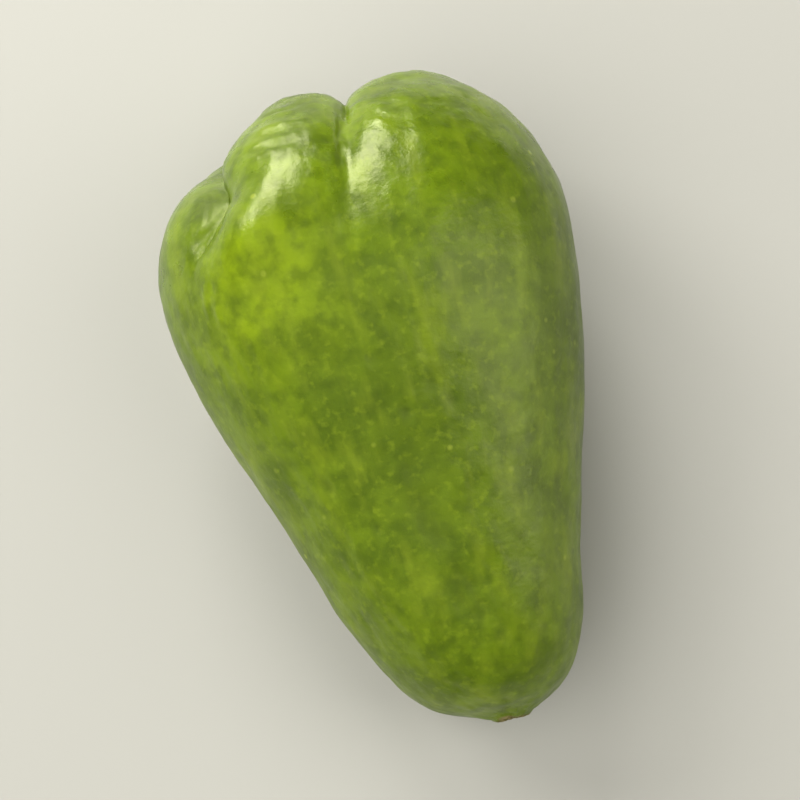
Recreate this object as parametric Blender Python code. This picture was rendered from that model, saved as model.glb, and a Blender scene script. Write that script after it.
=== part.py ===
"""A baby chayote lying on its broad side: one solid fruit, 85 mm long.

The stem end points along -Y and the furrowed blossom end along +Y. Z = 0 is
the flat spot under the belly that the fruit rests on. The fruit starts as a UV
sphere whose poles are the stem scar and the bottom of the mouth, the slit in
the blossom end. Each vertex's latitude and longitude there decide its place on
a smooth envelope. The furrows then sink it towards the fruit's core line, which
leaves the lobes standing between them, and the scar lifts it.
"""

import bmesh
import bpy
import numpy as np

MM = 0.001

# The skin's mesh: rings from pole to pole, and how strongly the rings crowd
# towards the poles and the meridians towards the furrows, from 0 to 1.
RINGS = 50
RING_CROWDING = 0.5
FURROW_CROWDING = 0.55

# The envelope in mm, from the stem pole over the neck, the belly and the rim
# down to the bottom of the mouth. Each station is a cross-section: its distance
# along the fruit, half width, half thickness, the sideways and upward place of
# its centre, and the roll in degrees of its width about the fruit's axis.
STATIONS = (
    (0.6, 0.0, 0.0, 3.2, 14.0, 0.0),
    (1.7, 5.7, 5.2, 2.8, 14.1, 0.0),
    (4.2, 9.7, 8.8, 2.2, 14.4, 0.0),
    (9.8, 13.4, 12.0, 1.6, 15.0, 0.0),
    (18.7, 16.6, 14.6, 0.6, 16.1, 0.0),
    (30.6, 20.1, 16.9, 0.1, 17.6, 0.0),
    (42.5, 24.0, 19.1, -0.5, 19.3, 0.0),
    (54.4, 27.0, 20.7, -0.9, 20.8, 0.0),
    (63.0, 27.9, 21.0, -1.1, 21.3, 0.0),
    (71.5, 26.1, 19.6, -0.9, 21.4, -3.0),
    (78.5, 20.9, 16.0, 0.4, 21.0, -8.0),
    (83.1, 15.5, 11.0, 1.6, 20.4, -13.0),
    (85.0, 12.8, 6.6, 2.2, 19.8, -15.0),
    (83.9, 11.6, 3.2, 2.5, 19.4, -15.0),
    (80.9, 9.8, 1.2, 2.7, 19.2, -15.0),
    (77.9, 6.2, 0.5, 2.7, 19.0, -15.0),
    (76.0, 0.0, 0.0, 2.7, 19.0, -15.0),
)

# The furrows that run from the mouth towards the stem, from the top one on. The
# second and the last leave the mouth's two corners.
#   at       its angle round the mouth in degrees: 0 is +X, 90 is up
#   lean     its turns on the way: each is by this many degrees up to the first
#            of two distances along the fruit in mm, and fades out by the second
#   valley   its soft hollow: where it begins and is full in mm, its depth in mm
#   crease   its sharp fold: the same three values
#   banks    the widths in degrees of the valley's right and left side
#   lobe     how many mesh segments wide the lobe after the furrow is
FURROWS = (
    dict(at=91.0, lean=((54.0, 80.0, 5.0),), valley=(48.0, 80.0, 1.9), crease=(65.0, 81.0, 1.6),
         banks=(28.0, 14.0), lobe=20),
    dict(at=165.0, lean=((70.0, 83.0, -35.0), (61.0, 69.0, 17.0)), valley=(56.0, 72.0, 2.0),
         crease=(61.0, 72.0, 1.3), banks=(12.0, 14.0), lobe=14),
    dict(at=215.0, lean=((60.0, 80.0, 2.0),), valley=(52.0, 80.0, 1.4), crease=(62.0, 76.0, 1.2),
         banks=(13.0, 13.0), lobe=14),
    dict(at=265.0, lean=((54.0, 78.0, 4.0),), valley=(52.0, 78.0, 1.8), crease=(60.0, 75.0, 1.7),
         banks=(14.0, 17.0), lobe=18),
    dict(at=345.0, lean=((56.0, 80.0, -8.0),), valley=(34.0, 76.0, 2.6), crease=(48.0, 76.0, 2.4),
         banks=(17.0, 20.0), lobe=24),
)
CREASE_WIDTH = 5.5
LEAN_WIDTH = 45.0

# The furrows fade out on the lips' inner faces, between these shares of the
# skin line.
LIP_FACES = (0.86, 0.94)

# The rim stands higher on the right: its rise per mm sideways, and the
# distances in mm along the fruit over which the rise comes in.
RIM_TILT = 0.05
RIM_TILT_ENDS = (58.0, 85.0)

# The faint hollows that carry each furrow's line down the neck, in mm and
# degrees.
NECK_HOLLOW = 0.55
NECK_HOLLOW_ENDS = (4.0, 16.0)
NECK_HOLLOW_WIDTH = 19.0

# The core line that the skin sinks towards runs between these places in mm.
CORE_START = 12.0
CORE_END = 58.0

# The corky disc where the stem was, in mm.
SCAR_RADIUS = 2.4
SCAR_EDGE = 1.1
SCAR_HEIGHT = 0.55

# How far in mm the belly is flattened where it rests.
REST_SPOT_DEPTH = 0.35

SKIN_COLOUR = (0.13, 0.215, 0.012, 1.0)
SKIN_ROUGHNESS = 0.35


def smooth(low, high, value):
    """A smooth step from 0 at low to 1 at high."""
    share = np.clip((value - low) / (high - low), 0.0, 1.0)
    return share * share * (3.0 - 2.0 * share)


def crowded(share, crowding):
    """Bend even steps from 0 to 1 so that they crowd together at both ends."""
    return share - crowding * np.sin(2.0 * np.pi * share) / (2.0 * np.pi)


def envelope_spline():
    """The stations as one smooth curve over the share of the skin line, which
    is 0 at the stem pole and 1 at the mouth pole."""
    rows = np.array(STATIONS)
    mirror = np.array([1.0, -1.0, -1.0, 1.0, 1.0, 1.0])
    rows = np.vstack([rows[1] * mirror, rows, rows[-2] * mirror])
    steps = np.linalg.norm(np.diff(rows[:, :2], axis=0), axis=1)
    places = np.concatenate([[0.0], np.cumsum(steps)])
    places = (places - places[1]) / (places[-2] - places[1])
    gaps = np.diff(places)
    slopes = np.diff(rows, axis=0) / gaps[:, None]
    count = len(rows)
    system = np.eye(count)
    bends = np.zeros_like(rows)
    for i in range(1, count - 1):
        system[i, i - 1:i + 2] = gaps[i - 1], 2.0 * (gaps[i - 1] + gaps[i]), gaps[i]
        bends[i] = 6.0 * (slopes[i] - slopes[i - 1])
    bends = np.linalg.solve(system, bends)

    def at(share):
        i = np.clip(np.searchsorted(places, share) - 1, 1, count - 3)
        gap = gaps[i][:, None]
        after = (share - places[i])[:, None]
        before = gap - after
        return (
            (bends[i] * before**3 + bends[i + 1] * after**3) / (6.0 * gap)
            + (rows[i] / gap - bends[i] * gap / 6.0) * before
            + (rows[i + 1] / gap - bends[i + 1] * gap / 6.0) * after
        )

    return at


ENVELOPE = envelope_spline()
SHARES = np.linspace(0.0, 1.0, 2001)
RIM_SHARE = SHARES[np.argmax(ENVELOPE(SHARES)[:, 0])]
RIM_ALONG = ENVELOPE(SHARES)[:, 0].max()


def turn_between(angle, other):
    """The turn in degrees from other to angle, between -180 and 180."""
    return (angle - other + 180.0) % 360.0 - 180.0


def hollow(span, reach):
    """How deep in mm a valley or a crease is at a place on the skin line."""
    start, full, depth = span
    return depth * smooth(start, full, reach)


def furrow_depth(furrow, away, along, reach):
    """How deep in mm a furrow is at a turn away from its line."""
    banks = np.where(away < 0.0, *furrow["banks"])
    valley = hollow(furrow["valley"], reach) * np.exp(-np.abs(away) / banks)
    crease = hollow(furrow["crease"], reach) * np.exp(-np.abs(away) / CREASE_WIDTH)
    neck = NECK_HOLLOW * smooth(*NECK_HOLLOW_ENDS, along)
    return valley + crease + neck * np.exp(-((away / NECK_HOLLOW_WIDTH) ** 2))


def furrow_lean(furrow, away, reach):
    """How far in degrees the skin turns with a furrow that leans."""
    turns = [turn * (1.0 - smooth(start, end, reach)) for start, end, turn in furrow["lean"]]
    return sum(turns) * np.exp(-((away / LEAN_WIDTH) ** 2))


def skin_point(share, turn):
    """The point in mm on the skin at a share of the skin line and a turn."""
    along, wide, thick, aside, up, roll = ENVELOPE(share).T
    reach = np.where(share < RIM_SHARE, along, 2.0 * RIM_ALONG - along)

    angle = turn.copy()
    depth = np.zeros_like(share)
    for furrow in FURROWS:
        away = turn_between(turn, furrow["at"])
        angle += furrow_lean(furrow, away, reach)
        depth += furrow_depth(furrow, away, along, reach)
    depth *= 1.0 - smooth(*LIP_FACES, share)
    scar = 1.0 - smooth(SCAR_RADIUS, SCAR_RADIUS + SCAR_EDGE, wide)
    depth -= np.where(share < RIM_SHARE, SCAR_HEIGHT * scar, 0.0)

    roll = np.radians(roll)
    angle = np.radians(angle) - roll
    across = wide * np.cos(angle)
    above = thick * np.sin(angle)
    sideways = across * np.cos(roll) - above * np.sin(roll)
    upward = across * np.sin(roll) + above * np.cos(roll)
    tilt = RIM_TILT * smooth(*RIM_TILT_ENDS, reach) * sideways
    point = np.stack([aside + sideways, along + tilt, up + upward], axis=1)

    core = np.stack([aside, np.clip(along, CORE_START, CORE_END), up], axis=1)
    outward = point - core
    outward /= np.linalg.norm(outward, axis=1, keepdims=True)
    return point - outward * depth[:, None]


def meridians():
    """The longitudes in degrees, crowded together towards the furrows."""
    angles = []
    for furrow, following in zip(FURROWS, FURROWS[1:] + FURROWS[:1]):
        width = (following["at"] - furrow["at"]) % 360.0
        steps = np.arange(furrow["lobe"]) / furrow["lobe"]
        angles.append(furrow["at"] + width * crowded(steps, FURROW_CROWDING))
    return np.concatenate(angles)


def make_fruit():
    """The whole fruit as one closed skin."""
    turns = meridians()
    bm = bmesh.new()
    bmesh.ops.create_uvsphere(bm, u_segments=len(turns), v_segments=RINGS, radius=1.0)
    mesh = bpy.data.meshes.new("chayote_fruit")
    bm.to_mesh(mesh)
    bm.free()
    ball = np.empty(len(mesh.vertices) * 3, np.float32)
    mesh.vertices.foreach_get("co", ball)
    ball = ball.reshape(-1, 3).astype(float)
    latitude = np.arccos(np.clip(-ball[:, 2], -1.0, 1.0)) / np.pi
    # The sphere's poles lie along Z and the fruit's along Y, so turns run backwards.
    longitude = -np.arctan2(ball[:, 1], ball[:, 0]) / (2.0 * np.pi)
    turn = turns[np.round(longitude * len(turns)).astype(int) % len(turns)]
    points = skin_point(crowded(latitude, RING_CROWDING), turn)
    points[:, 2] -= points[:, 2].min() + REST_SPOT_DEPTH
    points[:, 2] = np.maximum(points[:, 2], 0.0)
    middle = (points.max(axis=0) + points.min(axis=0)) / 2.0
    points[:, :2] -= middle[:2]
    mesh.vertices.foreach_set("co", (points * MM).astype(np.float32).ravel())
    mesh.update()
    mesh.shade_smooth()
    return bpy.data.objects.new("chayote_fruit", mesh)


def skin_material():
    material = bpy.data.materials.new("green_skin")
    material.use_nodes = True
    shader = material.node_tree.nodes["Principled BSDF"]
    shader.inputs["Base Color"].default_value = SKIN_COLOUR
    shader.inputs["Roughness"].default_value = SKIN_ROUGHNESS
    shader.inputs["Metallic"].default_value = 0.0
    return material


def main():
    for obj in list(bpy.data.objects):
        bpy.data.objects.remove(obj, do_unlink=True)
    collection = bpy.data.collections.new("baby_chayote")
    bpy.context.scene.collection.children.link(collection)
    fruit = make_fruit()
    fruit.data.materials.append(skin_material())
    collection.objects.link(fruit)


main()
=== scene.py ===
import math

import bpy
import numpy as np
from mathutils import Matrix, Vector, noise


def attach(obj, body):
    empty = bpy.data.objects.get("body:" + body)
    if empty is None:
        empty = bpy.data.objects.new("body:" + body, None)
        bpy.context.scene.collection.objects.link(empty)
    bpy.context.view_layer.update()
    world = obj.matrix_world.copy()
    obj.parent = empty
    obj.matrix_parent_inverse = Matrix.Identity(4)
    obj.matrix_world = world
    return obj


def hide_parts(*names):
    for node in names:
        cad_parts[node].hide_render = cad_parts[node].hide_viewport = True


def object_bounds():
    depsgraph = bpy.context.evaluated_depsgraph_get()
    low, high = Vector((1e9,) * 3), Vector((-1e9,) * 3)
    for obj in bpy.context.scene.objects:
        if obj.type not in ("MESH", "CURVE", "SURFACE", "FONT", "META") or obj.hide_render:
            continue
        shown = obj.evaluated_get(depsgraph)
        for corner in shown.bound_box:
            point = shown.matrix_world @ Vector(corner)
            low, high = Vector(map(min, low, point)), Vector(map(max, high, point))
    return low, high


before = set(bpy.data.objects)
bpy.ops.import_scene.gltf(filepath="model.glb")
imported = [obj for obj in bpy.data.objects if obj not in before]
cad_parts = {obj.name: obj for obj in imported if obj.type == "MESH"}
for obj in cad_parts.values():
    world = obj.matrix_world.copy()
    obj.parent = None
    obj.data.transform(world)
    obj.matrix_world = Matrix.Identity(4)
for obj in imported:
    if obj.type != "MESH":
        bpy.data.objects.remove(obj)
cad_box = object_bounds()

# The fruit: one young chayote, grown as one piece, with a thin waxy skin over
# crisp flesh. It starts as a copy of the solid, whose triangles are joined back
# into their grid of quads and subdivided. Its folds and pits are pressed in after.
MM = 0.001
MERGE_DISTANCE = 0.001 * MM
SKIN_LEVELS = 2

bpy.ops.object.select_all(action="DESELECT")
skin = bpy.data.objects.new("chayote_skin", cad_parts["chayote_fruit"].data.copy())
bpy.context.scene.collection.objects.link(skin)
skin.select_set(True)
bpy.context.view_layer.objects.active = skin
bpy.ops.object.mode_set(mode="EDIT")
bpy.ops.mesh.select_all(action="SELECT")
bpy.ops.mesh.remove_doubles(threshold=MERGE_DISTANCE)
bpy.ops.mesh.customdata_custom_splitnormals_clear()
bpy.ops.mesh.tris_convert_to_quads(
    face_threshold=math.pi, shape_threshold=math.pi, topology_influence=1.0
)
bpy.ops.object.mode_set(mode="OBJECT")
subdivision = skin.modifiers.new("subdivision", "SUBSURF")
subdivision.levels = SKIN_LEVELS
subdivision.render_levels = SKIN_LEVELS
bpy.ops.object.modifier_apply(modifier="subdivision")
bpy.ops.object.shade_smooth()

points = np.empty(len(skin.data.vertices) * 3, np.float32)
outward = np.empty(len(skin.data.vertices) * 3, np.float32)
skin.data.vertices.foreach_get("co", points)
skin.data.vertex_normals.foreach_get("vector", outward)
points = points.reshape(-1, 3).astype(float) / MM
outward = outward.reshape(-1, 3).astype(float)

# How far each point of the skin is pressed in, in mm, and how much it lies in a
# fold, from 0 to 1, which darkens it with painted shade and dulls it. Both grow from here on.
sunk = np.zeros(len(points))
folded = np.zeros(len(points))


def smooth(low, high, value):
    """A smooth step from 0 at low to 1 at high."""
    share = np.clip((value - low) / (high - low), 0.0, 1.0)
    return share * share * (3.0 - 2.0 * share)


def uneven(wavelengths, octaves, start):
    """Noise over the skin with its own wavelength in mm along each axis."""
    places = points / np.array(wavelengths) + start
    return np.array([noise.fractal(Vector(place), 1.0, 2.0, octaves) for place in places])


def spot(surface, place, radius):
    """A share that is 1 at a place in mm and fades out past a radius round it."""
    gaps = np.linalg.norm(surface - np.array(place), axis=1)
    return np.exp(-((gaps / radius) ** 2))


# Folds follow a smooth line through a few points on the skin. The skin is read a
# little out of place there, so that they run crooked, and they are deeper in some
# patches than in others.
CROOKEDNESS = 0.45
CROOKED_WAVES = (2.4, 2.4, 2.4)
CROOKED_STARTS = (41.0, 53.0, 67.0)
PATCH_WAVES = (3.0, 3.0, 3.0)
PATCH_START = 71.0
PATCH_MIDDLE = 0.75
PATCH_CONTRAST = 0.6
LINE_STEPS = 10
FOLD_ENDS = 0.3
BANK_PLACE = 2.0
FULL_SHADE_FOLD_DEPTH = 0.4

crooked = points + CROOKEDNESS * np.stack(
    [uneven(CROOKED_WAVES, 2, start) for start in CROOKED_STARTS], axis=1
)
patchy = PATCH_MIDDLE + PATCH_CONTRAST * uneven(PATCH_WAVES, 2, PATCH_START)


def smooth_line(stops):
    """A Catmull-Rom curve through the stops."""
    stops = np.array(stops, float)
    stops = np.vstack([2.0 * stops[0] - stops[1], stops, 2.0 * stops[-1] - stops[-2]])
    share = np.linspace(0.0, 1.0, LINE_STEPS, endpoint=False)[:, None]
    line = []
    for before, start, end, after in zip(stops, stops[1:], stops[2:], stops[3:]):
        line.append(
            start
            + 0.5 * share * (end - before)
            + share**2 * (before - 2.5 * start + 2.0 * end - 0.5 * after)
            + share**3 * (1.5 * (start - end) + 0.5 * (after - before))
        )
    return np.vstack([*line, stops[-2:-1]])


def press_fold(stops, width, depth, bank):
    """Press a fold into the skin, with a raised bank on both sides."""
    line = smooth_line(stops)
    gaps = np.linalg.norm(crooked[:, None, :] - line[None, :, :], axis=2)
    place = gaps.argmin(axis=1) / (len(line) - 1)
    gap = gaps.min(axis=1) / width
    fade = patchy * smooth(0.0, FOLD_ENDS, place) * smooth(0.0, FOLD_ENDS, 1.0 - place)
    trough = fade * np.exp(-np.abs(gap) ** 1.5)
    sunk[:] += depth * trough - bank * fade * np.exp(-((gap - BANK_PLACE) ** 2))
    # The fold's trough gets painted shade, full from this depth on.
    folded[:] = np.maximum(folded, trough * min(1.0, depth / FULL_SHADE_FOLD_DEPTH))


# Each fold, all in mm: the stops of its line, its half width, its depth, which is
# below 0 for a ridge, and the height of its banks.
FOLDS = [
    # The bottom of the first furrow, and two short folds that leave it to the left.
    ([(1.0, 37.2, 29.9), (0.4, 34.2, 33.3), (-0.2, 31.1, 36.1), (-0.5, 28.5, 37.6),
      (-0.7, 26.0, 38.6), (-0.8, 21.2, 39.4)], 0.45, 0.3, 0.06),
    ([(-0.2, 31.1, 36.1), (-1.8, 30.3, 37.3), (-3.4, 30.6, 37.5)], 0.4, 0.25, 0.06),
    ([(-0.5, 28.5, 37.6), (-1.8, 27.2, 38.0), (-3.0, 27.0, 38.4)], 0.35, 0.18, 0.04),
    # Three folds and a ridge that cross the top left lobe.
    ([(-9.6, 37.6, 30.6), (-8.2, 37.8, 31.0), (-6.2, 37.3, 32.3), (-3.7, 37.5, 32.3)],
     0.55, 0.4, 0.16),
    ([(-10.4, 33.6, 35.0), (-9.1, 34.5, 34.8), (-5.6, 34.5, 35.4), (-3.0, 34.8, 34.8)],
     0.8, -0.3, 0.0),
    ([(-14.0, 32.0, 33.2), (-11.0, 31.5, 36.4), (-9.3, 31.5, 37.1), (-7.1, 31.1, 37.7),
      (-4.2, 31.6, 37.4)], 0.55, 0.5, 0.2),
    ([(-11.4, 30.2, 37.2), (-9.0, 29.6, 37.9), (-6.4, 29.4, 38.2)], 0.45, 0.25, 0.1),
    # The bottom of the second furrow, and three short folds in its basin.
    ([(-14.8, 26.1, 33.9), (-16.1, 25.1, 33.5), (-18.9, 23.5, 32.9), (-20.5, 22.7, 32.1),
      (-21.5, 21.8, 31.4)], 0.5, 0.3, 0.12),
    ([(-18.0, 30.6, 29.4), (-17.2, 28.6, 31.4), (-17.8, 26.4, 32.6)], 0.5, 0.25, 0.1),
    ([(-20.4, 28.4, 29.8), (-19.4, 26.4, 31.7), (-20.4, 24.3, 31.7)], 0.5, 0.22, 0.1),
    ([(-15.4, 30.6, 31.0), (-15.6, 28.2, 33.0), (-16.6, 26.4, 33.0)], 0.5, 0.25, 0.1),
    # Two folds on the left shoulder, past the second furrow's end.
    ([(-18.4, 17.4, 34.8), (-19.6, 15.3, 33.3), (-20.4, 12.3, 32.0)], 0.5, 0.2, 0.16),
    ([(-19.6, 12.8, 32.6), (-21.8, 10.6, 30.0), (-23.6, 9.8, 27.6)], 0.4, 0.1, 0.12),
    # A long shallow hollow down the top of the neck, and a fine line in it.
    ([(0.0, -3.0, 35.8), (-1.3, -10.8, 33.2), (-0.9, -16.1, 31.5), (0.5, -21.2, 30.0),
      (1.4, -24.7, 28.8), (2.5, -28.5, 27.5), (4.9, -32.6, 25.7), (6.7, -35.2, 24.1)],
     2.4, 0.3, 0.1),
    ([(2.2, -24.2, 29.0), (3.0, -27.2, 28.0), (4.0, -30.2, 26.9)], 0.4, 0.05, 0.1),
]

for stops, width, depth, bank in FOLDS:
    press_fold(stops, width, depth, bank)

# The top left lobe swells beside the second furrow, and so does the small lobe
# past that furrow's end. Each swelling has its place, radius and height in mm.
SWELLINGS = [((-13.0, 21.6, 38.0), 5.4, 1.3), ((-21.6, 20.4, 31.6), 2.0, 0.35)]

for place, radius, rise in SWELLINGS:
    sunk -= rise * spot(points, place, radius)

# The skin inside the second furrow's basin and below the top left lobe's crest is
# finely crumpled. Each crumpled spot has its place and radius in mm, and how much
# it is crumpled, from 0 to 1.
CRUMPLED = [((-17.4, 27.2, 32.2), 3.0, 0.9), ((-7.0, 31.2, 37.2), 3.8, 0.5)]
CRUMPLE_WAVES = (1.5, 1.5, 1.5)
CRUMPLE_START = 83.0
CRUMPLE_DEPTH = 0.5

for place, radius, share in CRUMPLED:
    crumpled = spot(points, place, radius)
    # A crumpled spot gets painted shade, as if it lay in a fold.
    folded = np.maximum(folded, share * crumpled)
    sunk += CRUMPLE_DEPTH * share * crumpled * uneven(CRUMPLE_WAVES, 2, CRUMPLE_START)

# Small pits and warts, where the skin has healed over scratches: a cluster on
# top of the belly, and others drawn here and there. Each has its place, its radius
# and its depth in mm, which is below 0 for a wart.
PITS = [
    ((-0.5, -4.7, 35.3), 0.8, 0.35),
    ((0.9, -3.6, 35.7), 0.6, -0.2),
    ((-3.1, 2.0, 37.3), 0.7, 0.25),
    ((3.4, -2.4, 36.1), 0.9, 0.3),
    ((5.5, -4.8, 35.2), 0.8, 0.25),
    ((-12.0, -10.6, 29.5), 0.9, 0.25),
    ((-6.8, -17.1, 30.1), 0.7, 0.25),
    ((-6.3, -21.7, 28.6), 0.6, -0.15),
]
PIT_SEED = 7
DRAWN_PITS = 70
DRAWN_RADII = (0.35, 0.8)
DRAWN_DEPTHS = (-0.08, 0.14)
FULL_SHADE_PIT_DEPTH = 0.35

draw = np.random.default_rng(PIT_SEED)
drawn_places = draw.choice(len(points), DRAWN_PITS, replace=False)
drawn_pits = [
    (points[place], draw.uniform(*DRAWN_RADII), draw.uniform(*DRAWN_DEPTHS))
    for place in drawn_places
]
for place, radius, depth in PITS + drawn_pits:
    dent = spot(crooked, place, radius)
    sunk += depth * dent
    # A pit gets painted shade, full from this depth on; a wart gets none.
    if depth > 0.0:
        folded = np.maximum(folded, dent * min(1.0, depth / FULL_SHADE_PIT_DEPTH))

# Thin wrinkles ring the lobes round the mouth, in patches. They lie where a noise
# passes through 0, and come in between two distances from the fruit's middle.
WRINKLE_WAVES = (7.0, 2.4, 7.0)
WRINKLE_START = 31.0
WRINKLE_THINNESS = 0.09
WRINKLE_PATCH_WAVES = (6.0, 6.0, 6.0)
WRINKLE_PATCH_START = 37.0
WRINKLE_PATCH_EDGES = (-0.1, 0.3)
WRINKLE_ENDS = (20.0, 36.0)
WRINKLE_DEPTH = 0.16
WRINKLE_SHADE = 0.45

wrinkles = np.exp(-((uneven(WRINKLE_WAVES, 1, WRINKLE_START) / WRINKLE_THINNESS) ** 2))
wrinkles *= smooth(*WRINKLE_ENDS, points[:, 1]) * smooth(
    *WRINKLE_PATCH_EDGES, uneven(WRINKLE_PATCH_WAVES, 1, WRINKLE_PATCH_START)
)
sunk += WRINKLE_DEPTH * wrinkles
# The wrinkles get painted shade.
folded = np.maximum(folded, WRINKLE_SHADE * wrinkles)

# The whole skin is a little uneven, with broad bumps, long ripples from end to end,
# and fine bumps. Each layer has its depth and its wavelengths in mm, and the start
# of its noise.
UNEVENNESS = [
    (0.28, (14.0, 14.0, 14.0), 3.0),
    (0.14, (3.4, 18.0, 3.4), 11.0),
    (0.06, (1.6, 2.2, 1.6), 23.0),
]

for depth, wavelengths, start in UNEVENNESS:
    sunk += depth * uneven(wavelengths, 2, start)

# The stem left a corky disc, which stands up on the solid. It has a ragged edge
# with a groove round it, a pit in the middle, and fine crooked spokes. Its sizes
# are in mm, apart from the places across it, which are shares of its radius.
SCAR_PLACE = (4.47, -42.5, 13.0)
SCAR_RADIUS = 2.2
SCAR_EDGE = (0.75, 1.15)
SCAR_PIT = 0.4
SCAR_PIT_DEPTH = 0.6
GROOVE_PLACE = 1.3
GROOVE_WIDTH = 0.2
GROOVE_DEPTH = 0.2
SPOKES = 13.0
SPOKE_BEND = 5.0
SPOKE_DEPTH = 0.05
CORK_WAVES = (1.3, 1.3, 1.3)
CORK_START = 97.0
CORK_RAGGEDNESS = 0.35
CORK_DEPTH = 0.12

from_scar = points - np.array(SCAR_PLACE)
ragged = uneven(CORK_WAVES, 3, CORK_START)
scar_reach = np.linalg.norm(from_scar, axis=1) / SCAR_RADIUS + CORK_RAGGEDNESS * ragged
scarred = 1.0 - smooth(*SCAR_EDGE, scar_reach)
spokes = np.sin(SPOKES * np.arctan2(from_scar[:, 2], from_scar[:, 0]) + SPOKE_BEND * ragged)
scar_pit = np.exp(-((scar_reach / SCAR_PIT) ** 2))
groove = np.exp(-(((scar_reach - GROOVE_PLACE) / GROOVE_WIDTH) ** 2))
sunk += scarred * (SCAR_PIT_DEPTH * scar_pit + SPOKE_DEPTH * spokes + CORK_DEPTH * ragged)
sunk += GROOVE_DEPTH * groove

# The skin is pressed in, and nothing goes below the surface that the fruit rests on.
points -= outward * sunk[:, None]
points[:, 2] = np.maximum(points[:, 2], 0.0)
skin.data.vertices.foreach_set("co", (points * MM).astype(np.float32).ravel())
for name, values in (("fold", np.clip(folded, 0.0, 1.0)), ("scar", scarred)):
    attribute = skin.data.attributes.new(name, "FLOAT", "POINT")
    attribute.data.foreach_set("value", values.astype(np.float32))
skin.data.update()

# The skin's finish is wax over mottled green, glossy on the lobes and satin on the
# belly and neck. It is yellower at the blossom end, with painted light on the top left
# lobe and painted shade in broad patches and in the folds, freckled with pale pores,
# and brown on the stem scar.
skin_material = bpy.data.materials.new("chayote_skin")
skin_material.use_nodes = True
skin_nodes = skin_material.node_tree.nodes
skin_links = skin_material.node_tree.links
shader = skin_nodes["Principled BSDF"]
coordinates = skin_nodes.new("ShaderNodeTexCoord").outputs["Object"]


def rgba(red, green, blue):
    """An opaque colour."""
    return (red, green, blue, 1.0)


def texture_at(kind, scale, stretch):
    """A texture over the skin, with waves of 1/scale metres."""
    mapping = skin_nodes.new("ShaderNodeMapping")
    mapping.inputs["Scale"].default_value = stretch
    skin_links.new(coordinates, mapping.inputs["Vector"])
    texture = skin_nodes.new(kind)
    texture.inputs["Scale"].default_value = scale
    skin_links.new(mapping.outputs["Vector"], texture.inputs["Vector"])
    return texture


def noise_at(scale, detail, stretch=(1.0, 1.0, 1.0)):
    """Noise over the skin, with waves of 1/scale metres."""
    texture = texture_at("ShaderNodeTexNoise", scale, stretch)
    texture.inputs["Detail"].default_value = detail
    return texture.outputs["Fac"]


def skin_attribute(name):
    """A value that is stored at each point of the skin."""
    attribute = skin_nodes.new("ShaderNodeAttribute")
    attribute.attribute_name = name
    return attribute.outputs["Fac"]


def spread(value, low, high, to_low=0.0, to_high=1.0):
    """Stretch a value from one range to another."""
    stage = skin_nodes.new("ShaderNodeMapRange")
    for name, bound in (("From Min", low), ("From Max", high), ("To Min", to_low),
                        ("To Max", to_high)):
        stage.inputs[name].default_value = bound
    skin_links.new(value, stage.inputs["Value"])
    return stage.outputs["Result"]


def calculate(operation, first, second):
    """Work out one value from two, each a number or another node's value."""
    stage = skin_nodes.new("ShaderNodeMath")
    stage.operation = operation
    for socket, value in zip(stage.inputs, (first, second)):
        if isinstance(value, float):
            socket.default_value = value
        else:
            skin_links.new(value, socket)
    return stage.outputs["Value"]


def tint(colour, share, second):
    """Blend a second colour into the first by a share."""
    stage = skin_nodes.new("ShaderNodeMix")
    stage.data_type = "RGBA"
    skin_links.new(share, stage.inputs["Factor"])
    skin_links.new(colour, stage.inputs["A"])
    stage.inputs["B"].default_value = second
    return stage.outputs["Result"]


def near(place, radius):
    """A share that is 1 round a place in mm and fades out by the radius."""
    gap = skin_nodes.new("ShaderNodeVectorMath")
    gap.operation = "DISTANCE"
    skin_links.new(coordinates, gap.inputs[0])
    gap.inputs[1].default_value = [length * MM for length in place]
    fading = spread(gap.outputs["Value"], radius * MM, 0.25 * radius * MM)
    return calculate("MULTIPLY", fading, spread(noise_at(230.0, 3.0), 0.3, 0.6, 0.5, 1.0))


# The ground colour goes from the stem end's green to the blossom end's, with noise.
# Each green has its place on that way, from 0 to 1.
GRADIENT_ENDS = (-45.0 * MM, 45.0 * MM)
GREENS = [
    (0.1, rgba(0.115, 0.18, 0.002)),
    (0.55, rgba(0.122, 0.192, 0.002)),
    (0.95, rgba(0.17, 0.255, 0.002)),
]

axes = skin_nodes.new("ShaderNodeSeparateXYZ")
skin_links.new(coordinates, axes.inputs["Vector"])
along = spread(axes.outputs["Y"], *GRADIENT_ENDS)
gradient_place = calculate("ADD", along, spread(noise_at(34.0, 3.0), 0.3, 0.7, -0.35, 0.35))
ramp = skin_nodes.new("ShaderNodeValToRGB")
ramp_stops = ramp.color_ramp.elements
ramp_stops.new(0.5)
for stop, (place, green) in zip(ramp_stops, GREENS):
    stop.position = place
    stop.color = green
skin_links.new(gradient_place, ramp.inputs["Fac"])
colour = ramp.outputs["Color"]

# Broad patches of painted light and shade: a yellow-green patch of painted light on
# the top left lobe, and darker patches of painted shade on the top right lobe, the
# middle of the belly and the right side. Each has its place and radius in mm, its
# strength and its colour.
PAINTED_LIGHT_AND_SHADE_PATCHES = [
    ((-15.0, 15.0, 37.0), 15.0, 1.0, rgba(0.21, 0.3, 0.001)),
    ((15.0, 32.0, 34.0), 14.0, 0.55, rgba(0.06, 0.1, 0.001)),
    ((3.0, -3.0, 35.0), 19.0, 0.5, rgba(0.06, 0.1, 0.001)),
    ((28.0, 2.0, 23.0), 18.0, 0.8, rgba(0.05, 0.085, 0.001)),
]

for place, radius, strength, green in PAINTED_LIGHT_AND_SHADE_PATCHES:
    colour = tint(colour, calculate("MULTIPLY", near(place, radius), strength), green)

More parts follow.
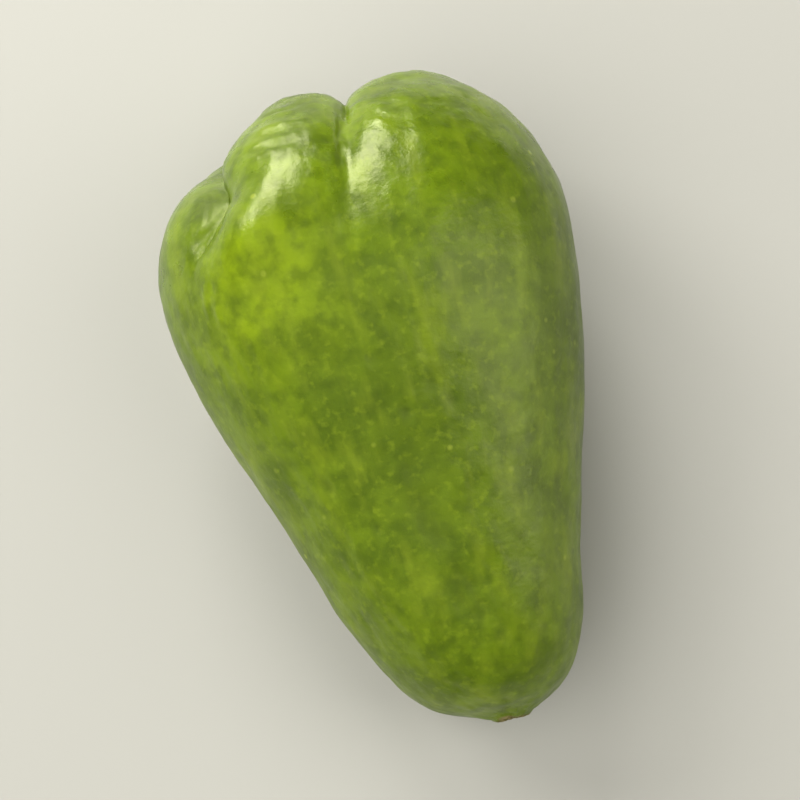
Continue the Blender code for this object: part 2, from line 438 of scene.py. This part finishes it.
# The mottling is made of four layers of noise: deep green blotches and flecks, then
# pale streaks along the fruit and pale specks. Each has its scale, detail and
# stretch, the noise values where it starts and is full, its strength and its colour.
EVEN = (1.0, 1.0, 1.0)
LENGTHWISE = (1.0, 0.14, 1.0)
DEEP_GREEN = rgba(0.042, 0.078, 0.001)
MOTTLES = [
    (170.0, 4.0, EVEN, 0.42, 0.66, 0.6, DEEP_GREEN),
    (480.0, 3.0, EVEN, 0.45, 0.68, 0.5, DEEP_GREEN),
    (330.0, 3.0, LENGTHWISE, 0.52, 0.72, 0.45, rgba(0.2, 0.27, 0.008)),
    (900.0, 2.0, EVEN, 0.55, 0.75, 0.35, rgba(0.22, 0.3, 0.008)),
]

for scale, detail, stretch, starts, full, strength, green in MOTTLES:
    layer = spread(noise_at(scale, detail, stretch), starts, full, 0.0, strength)
    colour = tint(colour, layer, green)

# Pale pores lie in some of the cells of a pattern, which are about 4 mm wide.
PORE_SCALE = 250.0
PORE_GREEN = rgba(0.28, 0.34, 0.03)
PORE_STRENGTH = 0.7

pores = texture_at("ShaderNodeTexVoronoi", PORE_SCALE, EVEN)
pore_spots = spread(pores.outputs["Distance"], 0.06, 0.13, 1.0, 0.0)
pore_kinds = skin_nodes.new("ShaderNodeSeparateColor")
skin_links.new(pores.outputs["Color"], pore_kinds.inputs["Color"])
pore_spots = calculate("MULTIPLY", pore_spots, spread(pore_kinds.outputs["Red"], 0.5, 0.8))
colour = tint(colour, calculate("MULTIPLY", pore_spots, PORE_STRENGTH), PORE_GREEN)

# The folds get painted shade, and the scar is brown with paler cork on it.
FOLD_PAINTED_SHADE = rgba(0.04, 0.07, 0.001)
SCAR_BROWN = rgba(0.1, 0.082, 0.018)
CORK_BROWN = rgba(0.24, 0.19, 0.08)

fold_share = skin_attribute("fold")
colour = tint(colour, spread(fold_share, 0.15, 1.0, 0.0, 0.7), FOLD_PAINTED_SHADE)
scar_share = skin_attribute("scar")
colour = tint(colour, scar_share, SCAR_BROWN)
cork_share = calculate("MULTIPLY", scar_share, spread(noise_at(1500.0, 4.0), 0.45, 0.6))
colour = tint(colour, cork_share, CORK_BROWN)
skin_links.new(colour, shader.inputs["Base Color"])

# The gloss, as roughness. It varies a little all over, and the skin gets duller from
# the lobes to the belly, between two places along the fruit. The folds and the scar
# are duller too.
GLOSSIEST = 0.22
DULLEST = 0.34
SATIN_ENDS = (26.0 * MM, 10.0 * MM)
SATIN_DULLNESS = 0.13
FOLD_DULLNESS = 0.3
SCAR_DULLNESS = 0.4

gloss = spread(noise_at(260.0, 3.0), 0.3, 0.7, GLOSSIEST, DULLEST)
gloss = calculate("ADD", gloss, spread(axes.outputs["Y"], *SATIN_ENDS, 0.0, SATIN_DULLNESS))
gloss = calculate("ADD", gloss, calculate("MULTIPLY", fold_share, FOLD_DULLNESS))
gloss = calculate("ADD", gloss, calculate("MULTIPLY", scar_share, SCAR_DULLNESS))
skin_links.new(gloss, shader.inputs["Roughness"])
shader.inputs["Specular IOR Level"].default_value = 0.78
shader.inputs["Specular Tint"].default_value = rgba(1.0, 1.0, 0.55)
shader.inputs["Subsurface Weight"].default_value = 0.12
shader.inputs["Subsurface Radius"].default_value = (0.6, 1.0, 0.2)
shader.inputs["Subsurface Scale"].default_value = 1.2 * MM

# The wax has a fine grain in two sizes, and stands a little higher on the pores.
FINE_GRAIN_HEIGHT = 0.35
PORE_HEIGHT = 0.25

fine_grain = calculate("MULTIPLY", noise_at(1500.0, 2.0), FINE_GRAIN_HEIGHT)
height = calculate("ADD", noise_at(420.0, 3.0), fine_grain)
height = calculate("ADD", height, calculate("MULTIPLY", pore_spots, PORE_HEIGHT))
bump = skin_nodes.new("ShaderNodeBump")
bump.inputs["Distance"].default_value = 0.3 * MM
bump.inputs["Strength"].default_value = 0.32
skin_links.new(height, bump.inputs["Height"])
skin_links.new(bump.outputs["Normal"], shader.inputs["Normal"])

skin.data.materials.clear()
skin.data.materials.append(skin_material)
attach(skin, "root")
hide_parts("chayote_fruit")

# The floor is a plain pale matt sheet. It lies level with the flat spot that the
# fruit rests on, and is wide enough for every view.
FLOOR_SIZE = 4.0

low, high = cad_box
middle = (low + high) / 2.0
bpy.ops.mesh.primitive_plane_add(size=FLOOR_SIZE, location=(middle.x, middle.y, low.z))
floor = bpy.context.object
floor.name = "floor"
floor_material = bpy.data.materials.new("pale_floor")
floor_material.use_nodes = True
floor_shader = floor_material.node_tree.nodes["Principled BSDF"]
floor_shader.inputs["Base Color"].default_value = rgba(0.45, 0.44, 0.39)
floor_shader.inputs["Roughness"].default_value = 0.8
floor_shader.inputs["Specular IOR Level"].default_value = 0.0
floor.data.materials.append(floor_material)

# The camera looks down on the fruit from just past its stem end, a little to the
# left of it, through a long lens.
VIEW_AZIMUTH = math.radians(-13.7)
VIEW_ELEVATION = math.radians(78.0)
VIEW_LENS = 85.0
VIEW_DISTANCE = 0.2436
NEAREST_SEEN = 0.01

back = Vector(
    (
        math.sin(VIEW_AZIMUTH) * math.cos(VIEW_ELEVATION),
        -math.cos(VIEW_AZIMUTH) * math.cos(VIEW_ELEVATION),
        math.sin(VIEW_ELEVATION),
    )
)
right = Vector((math.cos(VIEW_AZIMUTH), math.sin(VIEW_AZIMUTH), 0.0))
up = back.cross(right)
bpy.ops.object.camera_add()
camera = bpy.context.object
camera.data.lens = VIEW_LENS
camera.data.clip_start = NEAREST_SEEN
camera.location = middle + back * VIEW_DISTANCE
camera.rotation_euler = Matrix((right, up, back)).transposed().to_euler()
bpy.context.scene.camera = camera


# Soft studio light: two boxes behind the blossom end, one of them further left, which
# give the long highlights, a wide dim panel on the right, which gives the sheen, and
# a weak fill from above, which isn't reflected.
def soft_box(name, toward, distance, size, radiance):
    """A lamp in a direction given along the picture's right, up and back."""
    direction = (right * toward[0] + up * toward[1] + back * toward[2]).normalized()
    bpy.ops.object.light_add(type="AREA", location=middle + direction * distance)
    lamp = bpy.context.object
    lamp.name = name
    lamp.rotation_euler = direction.to_track_quat("Z", "Y").to_euler()
    lamp.data.shape = "ELLIPSE"
    lamp.data.size, lamp.data.size_y = size
    lamp.data.energy = radiance * math.pi * size[0] * size[1]
    return lamp


soft_box("key_light", (-0.31, 0.87, 0.32), distance=0.55, size=(0.27, 0.36), radiance=7.1)
soft_box("middle_light", (-0.69, 0.57, 0.44), distance=0.55, size=(0.28, 0.25), radiance=7.3)
soft_box("side_panel", (0.74, 0.15, 0.66), distance=0.6, size=(0.38, 0.95), radiance=1.45)
fill = soft_box("overhead_fill", (-0.45, -0.2, 0.87), distance=1.0, size=(1.4, 1.4), radiance=1.8)
fill.visible_glossy = False

# The room round the lamps is dim and slightly warm.
world = bpy.data.worlds.new("studio")
world.use_nodes = True
room = world.node_tree.nodes["Background"]
room.inputs["Color"].default_value = rgba(1.0, 0.98, 0.84)
room.inputs["Strength"].default_value = 0.15
bpy.context.scene.world = world
bpy.context.scene.view_settings.view_transform = "Standard"
